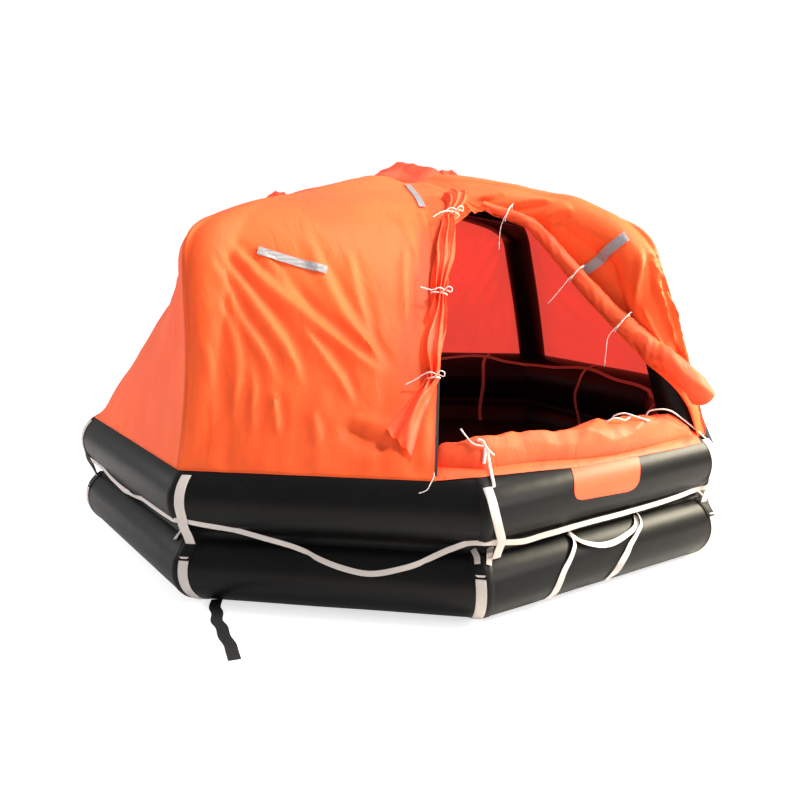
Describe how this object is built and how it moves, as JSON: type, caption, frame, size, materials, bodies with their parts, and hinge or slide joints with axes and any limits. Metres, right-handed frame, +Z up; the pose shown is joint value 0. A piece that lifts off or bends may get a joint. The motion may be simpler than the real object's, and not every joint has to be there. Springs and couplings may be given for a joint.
{
  "type": "inflatable life raft",
  "caption": "Eight-sided inflatable life raft with two stacked black buoyancy tubes, crossed arches, an orange canopy, entrances with boarding ladders and grab lines.",
  "frame": {"origin": "on the ground under the middle of the raft", "axes": "+Z up; the front entrance is towards -Y, the rear entrance towards +Y"},
  "size_m": [4.0318, 4.0547, 2.1641],
  "materials": {
    "black_rubber": "satin coated rubber",
    "orange_cloth": "coated nylon canopy cloth",
    "red_cloth": "coated nylon cloth",
    "pale_webbing": "woven polyester webbing",
    "black_webbing": "woven polyester webbing",
    "painted_steel": "gloss paint",
    "brass": "machined"
  },
  "bodies": {
    "root": {"arch_beam_front_left": "black_rubber", "arch_beam_front_right": "black_rubber", "arch_beam_rear_left": "black_rubber", "arch_beam_rear_right": "black_rubber", "arch_crown": "black_rubber", "arch_leg_front_left": "black_rubber", "arch_leg_front_right": "black_rubber", "arch_leg_rear_left": "black_rubber", "arch_leg_rear_right": "black_rubber", "canopy_front_left": "orange_cloth", "canopy_front_right": "orange_cloth", "canopy_light_pocket": "red_cloth", "canopy_rear_left": "orange_cloth", "canopy_rear_right": "orange_cloth", "canopy_side_left": "orange_cloth", "canopy_side_right": "orange_cloth", "corner_strap_front": "pale_webbing", "corner_strap_left": "pale_webbing", "corner_strap_left_front": "pale_webbing", "corner_strap_left_rear": "pale_webbing", "corner_strap_rear": "pale_webbing", "corner_strap_right": "pale_webbing", "corner_strap_right_front": "pale_webbing", "corner_strap_right_rear": "pale_webbing", "cylinder_valve": "brass", "floor": "black_rubber", "front_boarding_patch": "orange_cloth", "front_entrance_curtain": "orange_cloth", "front_entrance_flap": "orange_cloth", "front_entrance_sill": "orange_cloth", "front_ladder_step": "pale_webbing", "front_ladder_strap_left": "pale_webbing", "front_ladder_strap_right": "pale_webbing", "gas_cylinder": "painted_steel", "inner_lifeline": "pale_webbing", "lookout_sleeve": "red_cloth", "loose_strap": "black_webbing", "lower_buoyancy_tube": "black_rubber", "outer_grab_line": "pale_webbing", "rear_boarding_patch": "orange_cloth", "rear_entrance_curtain": "orange_cloth", "rear_entrance_flap": "orange_cloth", "rear_entrance_sill": "orange_cloth", "rear_ladder_step": "pale_webbing", "rear_ladder_strap_left": "pale_webbing", "rear_ladder_strap_right": "pale_webbing", "upper_buoyancy_tube": "black_rubber", "water_pocket_1": "black_rubber", "water_pocket_2": "black_rubber", "water_pocket_3": "black_rubber", "water_pocket_4": "black_rubber"}
  },
  "joints": []
}
